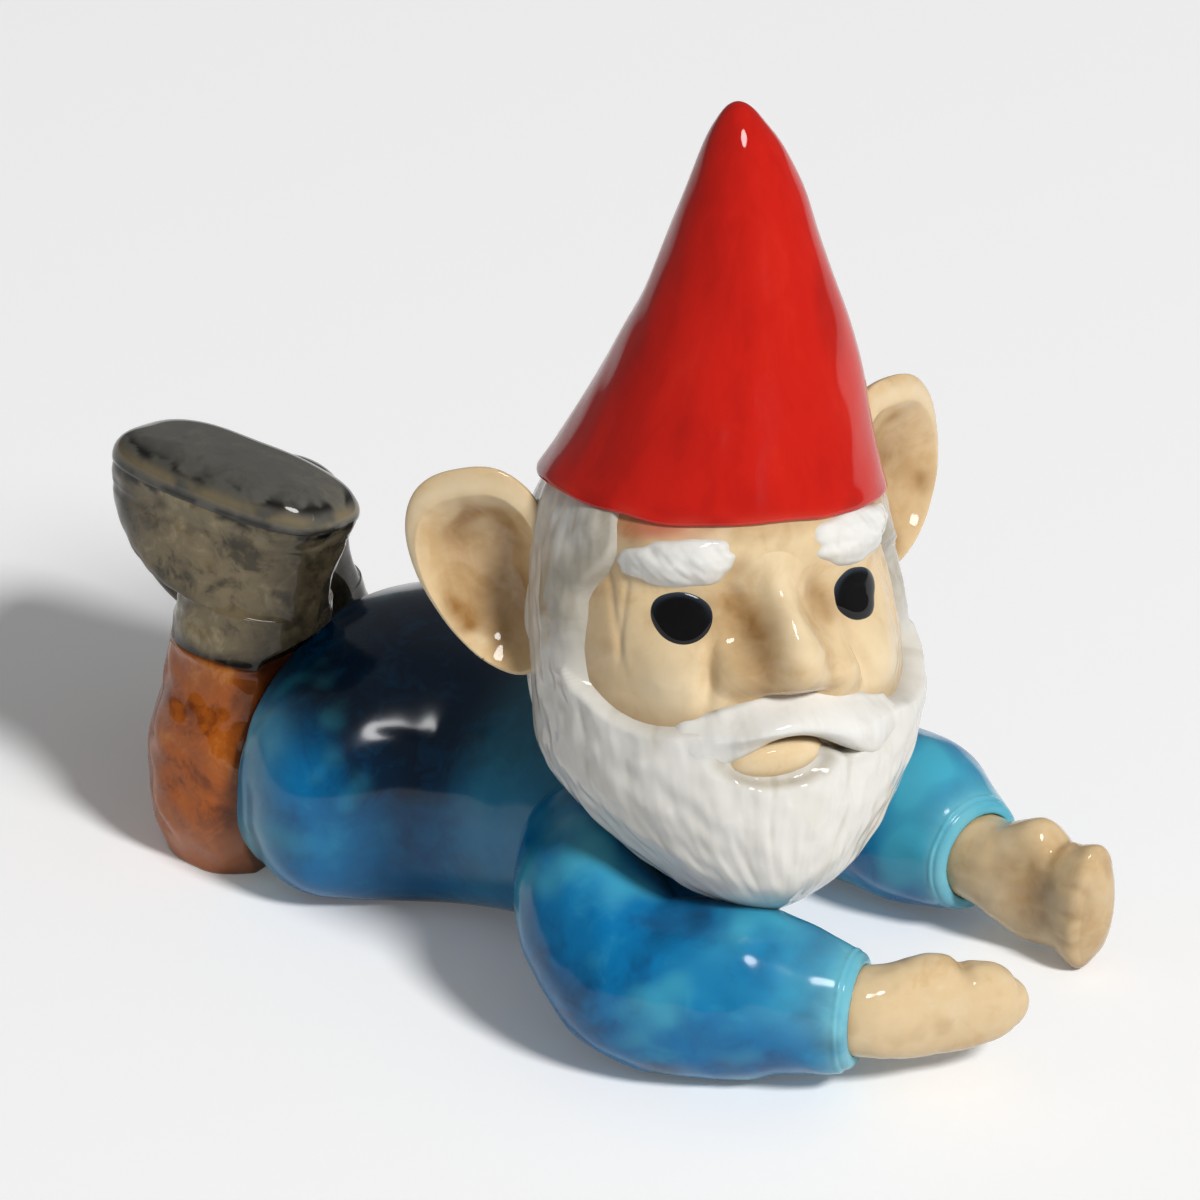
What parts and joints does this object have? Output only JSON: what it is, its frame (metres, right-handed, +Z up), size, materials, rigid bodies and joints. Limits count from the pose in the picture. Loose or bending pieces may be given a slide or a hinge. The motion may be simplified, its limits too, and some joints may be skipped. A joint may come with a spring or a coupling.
{
  "type": "gnome figurine",
  "caption": "Glazed ceramic gnome lying on its front, propped on its elbows with boots in the air, in a tall pointed hat and a full beard; a free-standing ornament.",
  "frame": {"origin": "on the ground under the middle of the figure's bounding box", "axes": "+Z up, the figure faces -Y, its own right side is -X"},
  "size_m": [0.034, 0.0658, 0.05],
  "materials": {
    "blue_glaze": "glossy cerulean glaze, turquoise where it runs thin",
    "skin_glaze": "glossy clear glaze over a beige body with ochre wash in the hollows",
    "red_glaze": "glossy red glaze, slightly streaked",
    "black_glaze": "thick glossy black glaze drop",
    "white_glaze": "glossy white glaze over brushed strands",
    "amber_glaze": "glossy mottled amber glaze",
    "grey_glaze": "glossy mottled grey-olive glaze with black dabs",
    "sole_glaze": "glossy smooth grey glaze"
  },
  "bodies": {
    "root": {"tunic": "blue_glaze", "head": "skin_glaze", "hat": "red_glaze", "right_ear": "skin_glaze", "left_ear": "skin_glaze", "right_eye": "black_glaze", "left_eye": "black_glaze", "right_eyebrow": "white_glaze", "left_eyebrow": "white_glaze", "nose": "skin_glaze", "moustache": "white_glaze", "lower_lip": "skin_glaze", "beard": "white_glaze", "nape_hair": "white_glaze", "right_sleeve": "blue_glaze", "left_sleeve": "blue_glaze", "right_hand": "skin_glaze", "left_hand": "skin_glaze", "right_trouser_leg": "amber_glaze", "left_trouser_leg": "amber_glaze", "right_boot": "grey_glaze", "left_boot": "grey_glaze", "right_sole": "sole_glaze", "left_sole": "sole_glaze"}
  },
  "joints": []
}
